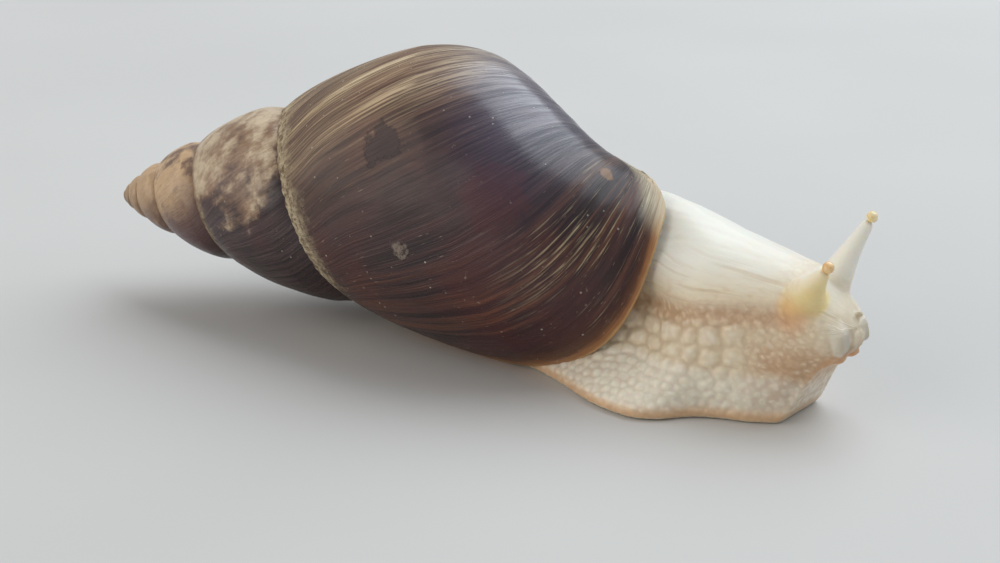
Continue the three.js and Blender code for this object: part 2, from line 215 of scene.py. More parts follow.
# ---------- Paint ----------
class Wire:
    """A socket's value, which adds Math nodes when it takes part in a sum."""

    def __init__(self, paint, socket):
        self.paint = paint
        self.socket = socket

    def sum(self, operation, first, second):
        return self.paint.node("ShaderNodeMath", {"operation": operation}, {0: first, 1: second})

    def __add__(self, other):
        return self.sum("ADD", self, other)

    def __radd__(self, other):
        return self.sum("ADD", other, self)

    def __sub__(self, other):
        return self.sum("SUBTRACT", self, other)

    def __rsub__(self, other):
        return self.sum("SUBTRACT", other, self)

    def __mul__(self, other):
        return self.sum("MULTIPLY", self, other)

    def __rmul__(self, other):
        return self.sum("MULTIPLY", other, self)

    def __truediv__(self, other):
        return self.sum("DIVIDE", self, other)

    def smooth(self, low, high):
        """0 at low, 1 at high, smooth between; low may be the greater."""
        if low > high:
            return 1 - self.smooth(high, low)
        settings = {"interpolation_type": "SMOOTHSTEP"}
        return self.paint.node("ShaderNodeMapRange", settings, {0: self, 1: low, 2: high})


class Paint:
    """A material that is built up from nodes."""

    def __init__(self, name):
        self.material = bpy.data.materials.new(name)
        self.material.use_nodes = True
        self.tree = self.material.node_tree
        self.tree.nodes.clear()

    def node(self, kind, settings=None, inputs=None, output=0):
        made = self.tree.nodes.new(kind)
        for name, value in (settings or {}).items():
            setattr(made, name, value)
        for name, value in (inputs or {}).items():
            if isinstance(value, Wire):
                self.tree.links.new(value.socket, made.inputs[name])
            else:
                made.inputs[name].default_value = value
        return Wire(self, made.outputs[output])

    def amount(self, name):
        return self.node("ShaderNodeAttribute", {"attribute_name": name}, output="Fac")

    def place(self):
        return self.node("ShaderNodeTexCoord", output="Object")

    def vector(self, x, y, z=0.0):
        return self.node("ShaderNodeCombineXYZ", inputs={0: x, 1: y, 2: z})

    def grain(self, place, scale, detail=2.0, roughness=0.5):
        inputs = {"Vector": place, "Scale": scale, "Detail": detail, "Roughness": roughness}
        return self.node("ShaderNodeTexNoise", inputs=inputs)

    def cells(self, place, scale, feature="SMOOTH_F1"):
        inputs = {"Vector": place, "Scale": scale}
        return self.node("ShaderNodeTexVoronoi", {"feature": feature}, inputs, output="Distance")

    def near(self, spot, middle, reach, ragged):
        """1 round a point, 0 beyond its reach, with a ragged border."""
        ends = {0: spot, 1: middle}
        far = self.node("ShaderNodeVectorMath", {"operation": "DISTANCE"}, ends, output="Value")
        return (far / reach + (ragged - 0.5) * 1.6).smooth(1.05, 0.75)

    def blend(self, factor, first, second):
        """The first colour, painted over with the second where the factor is high."""
        tones = [colour(tone) if isinstance(tone, str) else tone for tone in (first, second)]
        inputs = {0: factor, 6: tones[0], 7: tones[1]}
        return self.node("ShaderNodeMix", {"data_type": "RGBA"}, inputs, output=2)

    def bump(self, height, distance, strength=1.0):
        inputs = {"Height": height, "Distance": distance, "Strength": strength}
        return self.node("ShaderNodeBump", inputs=inputs)

    def finish(self, **inputs):
        named = {name.replace("_", " "): value for name, value in inputs.items()}
        shader = self.node("ShaderNodeBsdfPrincipled", inputs=named)
        out = self.tree.nodes.new("ShaderNodeOutputMaterial")
        self.tree.links.new(shader.socket, out.inputs["Surface"])
        return self.material


class ShellPaint(Paint):
    """The shell's colour in layers, each laid over the one before."""

    def __init__(self):
        super().__init__("shell_gloss")
        self.growth = self.amount("growth")
        self.share = self.amount("share")
        self.edge = self.amount("edge")
        self.upside = self.amount("upside")
        self.spot = self.place()
        self.lines = self.amount("lines")
        along = self.vector(self.lines, self.share * 0.012)
        self.wide = self.grain(self.vector(self.lines, self.share * 0.05), 26, 3, 0.55)
        self.line = self.grain(along, 150, 4, 0.6)
        self.fine = self.grain(along, 420, 3, 0.65)
        self.cloud = self.grain(self.spot, 60, 4, 0.6)
        self.patch = self.grain(self.spot, 38, 3, 0.55)
        self.ragged = self.grain(self.spot, 260, 4, 0.65)
        self.crumbs = self.grain(self.spot, 900, 3, 0.7)
        self.last_turn = self.growth.smooth(5.5, 5.8)
        self.older = self.growth.smooth(5.62, 5.5)
        back_fade = self.growth.smooth(5.78, 6.08)
        self.back_fade = back_fade
        upper = self.growth.smooth(6.42, 6.25) * (0.25 + 0.75 * back_fade)
        self.upper = upper * self.last_turn * self.share.smooth(0.8, 0.25)
        near_lip = self.growth.smooth(6.42, 6.5) * self.share.smooth(0.42, 0.72)
        near_lip = near_lip * self.edge.smooth(1.5, 5.0)
        self.gold = (self.fine * 0.6 + self.wide * 0.4).smooth(0.53, 0.6) * near_lip
        rough_share = self.share + (self.crumbs - 0.5) * 0.1 + (self.ragged - 0.5) * 0.16
        self.seam = rough_share.smooth(0.12, 0.05) * self.growth.smooth(5.0, 5.6)
        self.scar = self.near(self.spot, SCAR, SCAR_REACH, self.ragged * 1.6 - 0.3)
        self.crust = self.near(self.spot, CRUST, CRUST_REACH, self.ragged)
        self.flecks = self.cells(self.spot, 420, "F1").smooth(0.12, 0.06) * self.cloud.smooth(0.48, 0.56)

    def ground(self):
        """Purple-brown, darker and redder in clouds, finely lined."""
        tone = self.blend(self.line.smooth(0.3, 0.72), "231416", "452c2e")
        tone = self.blend(self.patch.smooth(0.44, 0.64) * 0.6, tone, "4f1f1c")
        tone = self.blend(self.cloud.smooth(0.5, 0.34) * 0.5, tone, "1a1013")
        tone = self.blend(self.fine.smooth(0.56, 0.74) * 0.4, tone, "7a6258")
        return self.blend(self.fine.smooth(0.44, 0.3) * 0.6, tone, "140b0c")

    def straw_streaks(self, tone):
        """Straw and cream streaks over the top of the last turn, next to the seam."""
        wide, fine, growth, share = self.wide, self.fine, self.growth, self.share
        straw = (self.line * 0.5 + fine * 0.5).smooth(0.42, 0.6) * (0.4 + 0.6 * wide.smooth(0.4, 0.6))
        tone = self.blend(self.upper * (0.12 + 0.6 * straw), tone, "a07c60")
        top = growth.smooth(6.34, 6.22) * self.back_fade * share.smooth(0.85, 0.4)
        mottled = (0.25 + 0.75 * wide.smooth(0.36, 0.56)) * (0.2 + 0.8 * fine.smooth(0.42, 0.6))
        tone = self.blend(top * mottled, tone, "e8cda0")
        crest = growth.smooth(6.31, 6.2) * self.back_fade * share.smooth(0.15, 0.4)
        tone = self.blend(crest * fine.smooth(0.4, 0.6) * wide.smooth(0.4, 0.6) * 0.75, tone, "f8ecd2")
        browner = share.smooth(0.34, 0.08) * self.last_turn
        return self.blend(browner * (0.1 + 0.35 * self.ragged), tone, "5c4036")

    def lip_streaks(self, tone):
        """Chestnut and golden streaks that gather towards the lip."""
        chestnut = self.line.smooth(0.44, 0.62) * self.growth.smooth(6.38, 6.52)
        chestnut = chestnut * self.wide.smooth(0.38, 0.55)
        tone = self.blend(chestnut * 0.6, tone, "75452c")
        return self.blend(self.gold * 0.8, tone, "c2ae8a")

    def amber_lip(self, tone):
        """The amber rim, and a pale pinch where the lip meets the base."""
        rim = self.edge * (0.5 + 0.5 * self.share.smooth(0.45, 0.85))
        rim = rim + (self.cloud - 0.5) * 2.6 + (self.fine - 0.5) * 1.6
        tone = self.blend(rim.smooth(3.8, 2.0) * 0.8, tone, "5f3824")
        tone = self.blend(rim.smooth(2.1, 1.0), tone, "a06c42")
        tone = self.blend(rim.smooth(1.0, 0.3) * 0.7, tone, "d6ab74")
        pale = rim.smooth(6.5, 3.0) * self.share.smooth(0.86, 0.95)
        pale = pale * (0.45 + 0.55 * self.fine.smooth(0.4, 0.6))
        return self.blend(pale * 0.9, tone, "e0d2b0")

    def older_turns(self, tone):
        """Cream flames on the older turns, paler towards their upper side and darker below, partly from
        bleaching and partly as painted light from above and painted shade beneath; tan and mottled towards
        the tip.
        """
        growth, upside = self.growth, self.upside
        flame = self.grain(self.vector(growth * 9.0, self.share * 3.0), 1.3, 4, 0.65)
        # paler towards the upper side: partly bleaching, partly painted light from above
        light = (upside + (flame - 0.5) * 2.4).smooth(0.35, 0.85)
        tone = self.blend(self.older * light * 0.55, tone, "c09a74")
        cream = (upside + (self.ragged - 0.5) * 2.0 + (flame - 0.5) * 3.0).smooth(0.55, 1.45)
        tone = self.blend(self.older * cream * 0.7, tone, "f2debd")
        oldest = growth.smooth(4.62, 4.45)
        # the oldest turns dark below and pale above: partly their own tone, partly painted shade and
        # painted light
        tan = self.blend((upside * 0.7 + flame).smooth(0.3, 1.1), "6b4640", "eec89a")
        tone = self.blend(oldest * 0.8, tone, tan)
        tone = self.blend(growth.smooth(4.3, 3.2) * 0.5, tone, "dcb68c")
        mottle = (flame * 0.6 + self.cloud * 0.4 - upside * 0.08).smooth(0.39, 0.51)
        return self.blend(oldest * growth.smooth(3.0, 3.8) * mottle * 0.8, tone, "5c3d3c")

    def crusty_seam(self, tone):
        """A pale crust along the last turn's seam, and a thin line along the older ones."""
        crusty = self.blend(self.crumbs.smooth(0.35, 0.65), "7a6853", "d2c2a2")
        tone = self.blend(self.seam * 0.85, tone, crusty)
        old_seam = (self.share + (self.ragged - 0.5) * 0.06).smooth(0.07, 0.02) * self.older
        return self.blend(old_seam * 0.7, tone, "8c7058")

    def wear(self, tone):
        """A dark scar, a reddish worn place, a chip, a crust, flecks, dashes and dust."""
        tone = self.blend(self.scar * 0.72, tone, "2c191c")
        tone = self.blend(self.near(self.spot, BLUSH, BLUSH_REACH, self.ragged) * 0.6, tone, "4e1c16")
        tone = self.blend(self.near(self.spot, CHIP, CHIP_REACH, self.ragged) * 0.7, tone, "a47a52")
        tone = self.blend(self.crust * self.crumbs.smooth(0.3, 0.6) * 0.7, tone, "9c8c7d")
        tone = self.blend(self.flecks * 0.8, tone, "cdbfae")
        dashes = self.cells(self.vector(self.lines * 330, self.share * 17), 1, "F1").smooth(0.12, 0.05)
        tone = self.blend(dashes * self.cloud.smooth(0.46, 0.58) * 0.55, tone, "b7a18c")
        dust = self.crumbs.smooth(0.66, 0.74) * self.patch.smooth(0.42, 0.6) * self.last_turn
        return self.blend(dust * 0.65, tone, "9a8674")

    def painted_sky_reflection(self, tone):
        """Painted reflection: a violet-blue tint in the colour where the sky is reflected on the smooth
        front of the last turn.
        """
        reflection_mask = self.growth.smooth(6.5, 6.36) * self.growth.smooth(6.14, 6.28)
        return self.blend(reflection_mask * self.share.smooth(0.36, 0.62) * 0.22, tone, "6a688c")

    def gloss(self):
        """How strong the glossy coat is: most on the smooth front of the last turn."""
        front = self.growth.smooth(6.54, 6.34) * self.share.smooth(0.42, 0.7) * self.last_turn
        sheen = front + self.older * 0.35
        lined = (self.line * 0.5 + self.fine * 0.5).smooth(0.4, 0.58)
        return 0.18 + sheen * (0.35 + 0.65 * lined) - 0.3 * self.seam

    def height(self):
        grown = self.line * 0.6 + self.fine * 0.55 + self.gold * 0.3
        return grown + self.crumbs * (self.seam + self.crust) * 1.2 + self.flecks * 0.4 - self.scar * 0.5


def shell_paint():
    paint = ShellPaint()
    tone = paint.ground()
    layers = (paint.straw_streaks, paint.lip_streaks, paint.amber_lip, paint.older_turns, paint.crusty_seam,
              paint.wear, paint.painted_sky_reflection)
    for layer in layers:
        tone = layer(tone)
    rough = 0.3 + 0.25 * paint.fine + paint.seam * 0.35 + paint.older * 0.1
    return paint.finish(
        Base_Color=tone,
        Roughness=rough + paint.upper * 0.12 + paint.crust * 0.3,
        Normal=paint.bump(paint.height(), 0.0006),
        Specular_IOR_Level=0.3,
        Coat_Weight=paint.gloss(),
        Coat_Roughness=0.24,
        Coat_IOR=1.75,
    )


def skin_paint():
    paint = Paint("moist_skin")
    spot = paint.place()
    knob = paint.amount("knob")
    tan = paint.amount("tan")
    rim = paint.amount("rim")
    yellow = paint.amount("yellow")
    orange = paint.amount("orange")
    smooth = paint.amount("smooth")
    own = paint.amount("own")
    length = paint.amount("length")
    down = paint.amount("down")
    white = paint.amount("white")
    lay = paint.amount("lay")
    rough_part = 1 - smooth
    small = paint.cells(spot, 900)
    long = paint.cells(paint.vector(length * 0.5, lay * 1.0), 1.0)
    stripe = paint.grain(paint.vector(length * 0.03, lay * 0.6), 1.0, 2, 0.5)
    grain = paint.grain(spot, 1600, 3, 0.6)
    cloud = paint.grain(spot, 90, 3, 0.5)

    tone = paint.blend(smooth, "e8d8b9", "f3f0e3")
    # painted shade: the smooth back turns a darker cream just above the groove; the tan band along the
    # groove and low on the front of the neck is partly the skin's own tan and partly painted shade
    shade = down.smooth(-10.0, -0.5) * smooth
    tone = paint.blend(shade * 0.75, tone, "e4cfa6")
    tone = paint.blend(tan * (0.6 + 0.4 * cloud), tone, "c89c72")
    # painted shade in the gaps between the knobs, and a painted highlight on their tops, stronger on some
    # knobs than others
    tone = paint.blend(knob.smooth(0.4, 0.0) * rough_part * 0.25, tone, "b08c68")
    tone = paint.blend(knob.smooth(0.4, 0.95) * rough_part * (0.15 + 0.4 * own), tone, "f2e8d4")
    low = down.smooth(9.5, 12.5) * down.smooth(40.0, 24.0)
    tone = paint.blend(low * rough_part * 0.6, tone, "f3efdf")
    tone = paint.blend(rim * 0.75, tone, "d8a974")
    tone = paint.blend(yellow, tone, "f4dc98")
    tone = paint.blend(orange, tone, "dc9c62")
    # painted shade: darker edges round the small granules, in the low grooves between them
    granules = small.smooth(0.25, 0.6) * (rough_part * 0.14 + tan * 0.22) * (1 - white)
    tone = paint.blend(granules, tone, "a67450")
    # painted shade: darker lines in the lengthwise creases and in the gaps between the pebbles on the sides
    # of the neck
    sides = down.smooth(-13.0, -3.0) * smooth * length.smooth(29.0, 24.0) * length.smooth(-60.0, -30.0)
    crease = stripe.smooth(0.5, 0.64) * sides
    tone = paint.blend(crease * 0.34, tone, "c6a57c")
    gaps = long.smooth(0.5, 0.8) * down.smooth(-8.0, -1.0) * sides
    tone = paint.blend(gaps * 0.35, tone, "c09a70")
    tone = paint.blend(white * 0.45, tone, "f4ede2")

    rough = 0.36 + 0.22 * grain + smooth * 0.08
    pebble = (1 - long) * down.smooth(-11.0, -2.0) * smooth
    height = (1 - small) * (rough_part * 0.5 + tan * 0.7) + grain * 0.25 + pebble * 1.0 - crease * 0.5
    normal = paint.bump(height, 0.00026, 0.8)
    return paint.finish(
        Base_Color=tone,
        Roughness=rough,
        Normal=normal,
        Coat_Weight=0.22,
        Coat_Roughness=0.25,
        Subsurface_Weight=0.35,
        Subsurface_Radius=(1.0, 0.55, 0.3),
        Subsurface_Scale=0.0014,
    )


def eye_paint(name, body, cap):
    paint = Paint(name)
    spot = paint.place()
    tone = paint.blend(paint.grain(spot, 900, 2).smooth(0.4, 0.65), body, cap)
    height = paint.grain(spot, 2600, 2)
    return paint.finish(
        Base_Color=tone,
        Roughness=0.25,
        Normal=paint.bump(height, 0.00005, 0.5),
        Coat_Weight=0.6,
        Coat_Roughness=0.1,
        Subsurface_Weight=0.3,
        Subsurface_Radius=(1.0, 0.5, 0.25),
        Subsurface_Scale=0.0008,
    )


# ---------- Shell ----------
shell_frame = Matrix.Translation(SHELL_TIP) @ Matrix.Rotation(math.radians(-SHELL_TILT), 4, "Y")


def section_point(share):
    """The last turn's section, from the suture (0) to the base (1): distance along the axis, radius."""
    shoulder = share < BELLY_SHARE
    start, end = (0, BELLY_SHARE) if shoulder else (BELLY_SHARE, 1)
    sweep = (share - start) / (end - start) * math.pi / 2
    power = 2 / (SHOULDER_POWER if shoulder else BASE_POWER)
    sine = math.sin(sweep) ** power
    cosine = max(math.cos(sweep), 0) ** power
    if shoulder:
        return Vector((mix(SUTURE[0], BELLY[0], 1 - cosine), mix(SUTURE[1], BELLY[1], sine)))
    back = CURL_BACK * curl(share)
    return Vector((mix(BELLY[0], BASE[0], sine) - back, mix(BASE[1], BELLY[1], cosine)))


def curl(share):
    return max((share - CURL_FROM) / (1 - CURL_FROM), 0) ** CURL_POWER


def lip_lean(share):
    lean = sum(factor * share ** power for power, factor in enumerate(LIP_LEAN))
    return lean + CURL_LEAN * curl(share)


def outline(shares):
    """Share, point, outward direction, lean and slip of the growth lines along the section."""
    points = [section_point(share) for share in shares]
    leans = [lip_lean(share) for share in shares]
    ways = [0.0]
    for before, after in zip(points, points[1:]):
        ways.append(ways[-1] + (after - before).length)
    rows = []
    for share, point, lean, way in zip(shares, points, leans, ways):
        along = section_point(min(share + 0.01, 1)) - section_point(max(share - 0.01, 0))
        along.normalize()
        weights = [math.exp(-((way - other) / LINE_REACH) ** 2) for other in ways]
        even = sum(weight * other for weight, other in zip(weights, leans)) / sum(weights)
        rows.append((share, point, Vector((-along.y, along.x)), lean, (lean - even) / 360))
    return rows


def shell_point(turn, row, rise):
    """A place on the shell, raised by some millimetres."""
    _, middle, out, lean, _ = row
    spot = middle + out * rise
    grown = turn - WHORLS
    angle = math.radians(LIP_ANGLE + 360 * grown + lean)
    radius = spot.y * RADIAL_GROWTH ** grown
    place = Vector((spot.x * AXIAL_GROWTH ** grown, -radius * math.cos(angle), -radius * math.sin(angle)))
    return shell_frame @ place * MM


def from_lip(turn, row):
    """How far a place is behind the lip, in millimetres along the turn."""
    return (WHORLS - turn) * 2 * math.pi * row[1].y


def shell_amounts(turn, row):
    """Turn, share of the section, distance from the lip, how far it faces up, and growth line."""
    return turn, row[0], from_lip(turn, row), math.cos(2 * math.pi * (turn - 0.22)), turn + row[4]


def relief(turn, row):
    """Growth ridges and puckers, in millimetres."""
    share = row[0]
    way = (turn + row[4]) * GIRTH
    ridge = 0.1 * noise.noise(Vector((way / 2.4, share * 3, 0)))
    swell = 0.16 * noise.noise(Vector((way / 7.5, share * 2, 5)))
    seam = step(0.07, 0.0, share) * 0.4 * noise.noise(Vector((way / 2.6, share * 12, 9)))
    lip = step(6.44, 6.56, turn) * step(0.55, 0.85, share)
    fold = lip * 0.45 * noise.noise(Vector((way / 3.4, share * 2, 13)))
    return ridge + swell + seam + fold


def turn_rows():
    """Turns of the sheet's rows, closer together towards the lip."""
    turns = []
    for start, end, count in SHELL_ROWS:
        turns += [mix(start, end, k / count) for k in range(count)]
    quarter = math.pi / 2 / LIP_STEPS
    return turns + [WHORLS - LIP_ROUND * (1 - math.sin(quarter * k)) for k in range(LIP_STEPS + 1)]


def round_off(turn):
    """How far the outside has sunk at the lip's rounded edge."""
    t = min((WHORLS - turn) / LIP_ROUND, 1.0)
    return WALL / 2 * (1 - math.sqrt(max(1 - (1 - t) ** 2, 0.0)))


def build_shell(material):
    mesh = bmesh.new()
    sides = SHELL_SIDES
    rows = outline([k / sides for k in range(sides + 1)])
    turns = turn_rows()

    def outside(i, j):
        turn = turns[i]
        near = rows[min(max(j - 1, 0), sides)]
        amounts = shell_amounts(turn, near)
        if j in (0, sides + 2):
            if turn > WHORLS - 0.4:
                row = rows[0 if j == 0 else sides]
                return shell_point(turn, row, relief(turn, row) - round_off(turn)), amounts
            grown = turn - WHORLS
            return shell_frame @ Vector((60 * AXIAL_GROWTH ** grown, 0, 0)) * MM, amounts
        row = rows[j - 1]
        return shell_point(turn, row, relief(turn, row) - round_off(turn)), amounts

    sheet(mesh, len(turns) - 1, sides + 2, outside, SHELL_AMOUNTS)

    # the wall's inner side runs back behind the collar
    inner = [mix(WHORLS - 0.34, WHORLS - LIP_ROUND, k / 50) for k in range(50)] + turns[-LIP_STEPS - 1:]

    def inside(i, j):
        turn = inner[i]
        share = rows[j][0]
        edge = step(0, 0.03, share) * step(1, 0.97, share)
        sunk = mix(round_off(turn), WALL - round_off(turn), edge)
        rise = relief(turn, rows[j]) * (1 - 0.5 * edge) if i < len(inner) - 1 else relief(turn, rows[j])
        return shell_point(turn, rows[j], rise - sunk), shell_amounts(turn, rows[j])

    sheet(mesh, len(inner) - 1, sides, inside, SHELL_AMOUNTS)
    # the rounded first turn
    tip = Matrix.Translation(shell_frame @ Vector((2.0, 0, 0)) * MM)
    first = bmesh.ops.create_uvsphere(mesh, u_segments=24, v_segments=16, radius=1.5 * MM, matrix=tip)
    for name, amount in zip(SHELL_AMOUNTS, (FIRST_TURN, 0.0, GIRTH, 0.5, FIRST_TURN)):
        layer = mesh.verts.layers.float[name]
        for vertex in first["verts"]:
            vertex[layer] = amount
    for vertex in mesh.verts:
        vertex.co.z = max(vertex.co.z, 0.0)
    return piece("shell_skin", mesh, material, merge=2e-6)


# ---------- Body ----------
body_frame = Matrix.Translation(BODY_PLACE) @ Matrix.Rotation(math.radians(BODY_TURN), 4, "Z")
body_back = body_frame.inverted()


def spline(points, t):
    """A point on an even curve through points, t from 0 to 1."""
    last = len(points) - 1
    place = min(max(t, 0.0), 1.0) * last
    i = min(int(place), last - 1)
    w = place - i
    a, b = points[max(i - 1, 0)], points[i]
    c, d = points[i + 1], points[min(i + 2, last)]
    start, end = (c - a) / 2, (d - b) / 2
    curve = (2 * b - 2 * c + start + end) * w ** 3
    return curve + (3 * c - 3 * b - 2 * start - end) * w ** 2 + start * w + b


def half_section(place):
    sole, flank, back = (through(t, place) for t in (SOLE_HALF, FLANK_HALF, BACK_HALF))
    under = through(UNDER_HEIGHT, place)
    tall = through(TOP_HEIGHT, place) - under
    knots = ((0, 0), (0.86 * sole, 0), (sole, 0.04), (0.97 * sole, 0.1), (mix(flank, sole, 0.3), 0.27),
             (flank, 0.5), (0.95 * flank, 0.7), (back, 0.87), (0.55 * back, 0.965), (0, 1))
    return [Vector((x, under + y * tall)) for x, y in knots]


def middle_at(place, height):
    """Where the middle of the body lies, to its left: it leans away from the lip of the shell."""
    lean = through(LEAN_SHIFT, place) * min(max(height / LEAN_HEIGHT, 0.0), 1.0)
    return through(MID_SHIFT, place) + lean


def add_body(mesh):
    steps, sides = 150, 44
    sections = []
    for k in range(steps + 1):
        place = mix(TAIL_END, MUZZLE_END, k / steps)
        knots = half_section(place)
        sections.append((place, [spline(knots, j / sides) for j in range(sides + 1)]))

    def spot(i, j):
        place, half = sections[min(max(i - 1, 0), steps)]
        if i in (0, steps + 2):
            tall = sum(point.y for point in half) / len(half)
            return body_frame @ Vector((place, middle_at(place, tall), tall)) * MM, ()
        near = j <= sides
        point = half[j if near else 2 * sides - j]
        across = middle_at(place, point.y) - (point.x if near else -point.x)
        return body_frame @ Vector((place, across, point.y)) * MM, ()

    sheet(mesh, steps + 2, 2 * sides, spot)


def add_limb(mesh, path, radii):
    """A round limb that tapers along a smooth path."""
    steps, sides = 30, 24
    points = [Vector(p) for p in path]

    def spot(i, j):
        t = min(max(i - 1, 0), steps) / steps
        middle = spline(points, t)
        if i in (0, steps + 2):
            return body_frame @ middle * MM, ()
        way = (spline(points, min(t + 0.02, 1)) - spline(points, max(t - 0.02, 0))).normalized()
        across = way.cross(Vector((0, 0, 1))).normalized() if abs(way.z) < 0.98 else Vector((0, 1, 0))
        up = across.cross(way)
        angle = 2 * math.pi * j / sides
        radius = through(radii, t)
        return body_frame @ (middle + (across * math.cos(angle) + up * math.sin(angle)) * radius) * MM, ()

    sheet(mesh, steps + 2, sides, spot)


def add_ball(mesh, middle, size):
    place = body_frame @ Matrix.Translation(middle) @ Matrix.Diagonal((*size, 1))
    place = Matrix.Scale(MM, 4) @ place
    bmesh.ops.create_uvsphere(mesh, u_segments=32, v_segments=20, radius=1.0, matrix=place)


def add_collar(mesh):
    """The mantle's thick edge, which fills the mouth of the shell just behind the lip."""
    sides, depth = 60, 14
    rows = outline([k / sides for k in range(sides + 1)])

    def spot(i, j):
        turn = mix(WHORLS - 0.2, WHORLS - 0.014, min(max(i - 1, 0), depth) / depth)
        if i == 0 or i == depth + 2 or j in (0, sides + 2):
            grown = turn - WHORLS
            middle = Vector((88 * AXIAL_GROWTH ** grown, 0, 0))
            angle = math.radians(LIP_ANGLE + 360 * grown - 8)
            radius = 7 * RADIAL_GROWTH ** grown
            middle.y = -radius * math.cos(angle)
            middle.z = -radius * math.sin(angle)
            return shell_frame @ middle * MM, ()
        bulge = 0.5 * step(0, 2, depth + 1 - i)
        return shell_point(turn, rows[j - 1], -WALL - 0.9 + bulge), ()

    sheet(mesh, depth + 2, sides + 2, spot)


def feeler_path(side):
    return (32.8, side * 3, 20.4), (35, side * 3.8, 18.2), (35.8, side * 4, 15.4)


def off_limb(spot, path, radii):
    """Millimetres from a place to the surface of a limb."""
    points = [Vector(point) for point in path]
    shares = [k / 12 for k in range(13)]
    return min((spot - spline(points, t)).length - through(radii, t) for t in shares)


def chance(*seeds):
    """A fixed number from 0 to 1 for a few seeds."""
    wave = math.sin(sum(seed * factor for seed, factor in zip(seeds, (127.1, 311.7, 74.7)))) * 43758.5453
    return wave - math.floor(wave)


def knob_at(s, down, side):
    """How far into a rounded knob a place on the flank is, its row's size and a number of its own."""
    row = next((k for k in range(len(KNOB_ROWS)) if down < ROW_TOPS[k + 1]), len(KNOB_ROWS) - 1)
    best, second, own, size = FAR, FAR, 0.5, 1.0
    for k in range(max(row - 1, 0), min(row + 2, len(KNOB_ROWS))):
        tall = KNOB_ROWS[k]
        wide = tall * 1.14
        first = math.floor(s / wide)
        for i in range(first - 1, first + 2):
            seed = chance(i, k, side)
            middle = (i + 0.5 + 0.45 * (chance(i, k, side + 2) - 0.5) + 0.5 * (k % 2)) * wide
            height = (ROW_TOPS[k] + ROW_TOPS[k + 1]) / 2 + 0.35 * tall * (chance(i, k, side + 4) - 0.5)
            reach = tall * (0.48 + 0.2 * seed)
            away = math.hypot((s - middle) / 1.1, down - height) / reach
            if away < best:
                best, second, own, size = away, best, seed, tall
            elif away < second:
                second = away
    return step(0.0, 0.9, second - best) * (1 - 0.4 * min(best, 1.2) ** 2), size, own


def skin_amounts(spot, normal):
    """Relief in millimetres and the painted amounts at a place on the skin, s ahead, l left, z up."""
    s, l, z = spot
    across = l - middle_at(s, z)
    side = 1 if across > 0 else 0
    upright = 1 - abs(normal.z)
    head = step(21, 27, s)
    feelers = step(24.5, 27, z - 0.5 * (31 - s)) * step(27, 29, s)
    groove = through(GROOVE, s)
    # the smooth back above the groove, with finer and finer grain up to it
    above = step(groove - 0.5, groove + 3.0, z)
    smooth = max(above * (1 - 0.45 * head), feelers)
    # the lower feelers are smooth and white, with a crease round them
    off = FAR
    if s > 29 and 10 < z < 25:
        off = off_limb(spot, feeler_path(1 if l > 0 else -1), FEELER_RADII)
    white = step(1.1, 0.3, off) * step(21.5, 19.5, z)
    ring = math.exp(-((off - 1.0) / 0.45) ** 2) * step(20.5, 18, z)
    front_face = 0.6 * step(31, 34, s) * step(13.5, 16, z)
    smooth = max(smooth, white, front_face, 0.8 * step(25, 28, s) * step(19.5, 22, z))
    # knobs below it, smaller towards the foot and the head
    wander = 0.5 * noise.noise(Vector((s / 8, side * 7, z / 6)))
    down = groove - z + max(abs(across) - through(FLANK_HALF, s), 0) * 0.8 + wander
    knob, size, own = knob_at(s + wander, max(down, 0), side)
    close, _ = noise.voronoi(Vector((s / 1.5, l / 1.25, (z + 0.35 * s) / 1.05)))
    grain = step(0.0, 0.7, close[1] - close[0]) * 0.9
    fine = max(step(16.5, 23.5, s), step(2.4, 0.6, down))
    knob = mix(knob, grain, fine)
    size = mix(size, 0.9, fine)
    flat = step(0.5, 1.6, z) if upright > 0.5 else step(0.1, 1.0, z)
    rise = (1 - smooth) * 0.14 * size * (knob - 0.5) * flat - 0.18 * ring * (1 - white)
    # lengthwise creases on the back
    crease = noise.noise(Vector((s / 16, 0, 0)) + Vector((0, l / 1.3, z / 1.3)))
    ripple = noise.noise(Vector((s / 5, l / 3.5, z / 3.5)))
    rise += smooth * (1 - feelers) * (0.09 * crease + 0.12 * ripple) * step(34, 28, s)
    # the groove itself
    trough = math.exp(-((z - groove) / 1.6) ** 2) * step(-10, 0, s) * step(30, 24, s)
    rise -= 0.4 * trough * step(0.1, 0.4, upright)
    # a tan band along the groove and low on the front of the neck under the head: partly the skin's own
    # tan, partly painted shade in the groove and beneath the head
    tan = 0.75 * math.exp(-((z - groove + 0.4) / 2.3) ** 2) * step(31, 26, s) * step(-70, -10, s)
    front = step(18, 26, s) * step(19, 12, z) * step(1.5, 5, z)
    tan = max(tan, 0.75 * front) * (1 - feelers)
    rim = step(3.4, 1.2, z) * step(0.15, 0.6, upright)
    lay = 14 * (z - groove) / (through(TOP_HEIGHT, s) - groove)
    amounts = {
        "knob": knob,
        "tan": tan * (1 - white),
        "rim": rim,
        "smooth": smooth,
        "own": own,
        "length": s,
        "down": down,
        "white": white,
        "lay": lay,
    }
    return rise, amounts | warm_amounts(spot, white)


def warm_amounts(spot, white):
    """The yellow of the drawn-in tentacle, and the orange of its foot and of the mouth."""
    s, l, z = spot
    off = FAR
    if s > 22 and l < 0 and z > 16:
        off = off_limb(spot, RIGHT_TENTACLE, RIGHT_RADII)
    yellow = step(0.9, 0.1, off) * step(31.5, 24.5, z + 0.8 * (30 - s)) * step(19.5, 23.5, z)
    foot = (spot - Vector(TENTACLE_FOOT)).length
    mouth = spot - Vector(MOUTH)
    lips = math.exp(-(mouth.x / 2.2) ** 2 - (mouth.y / 4.4) ** 2 - (mouth.z / 1.5) ** 2) * (1 - white)
    return {"yellow": 0.9 * yellow, "orange": min(0.9 * lips + 0.55 * step(5.0, 1.0, foot), 1)}


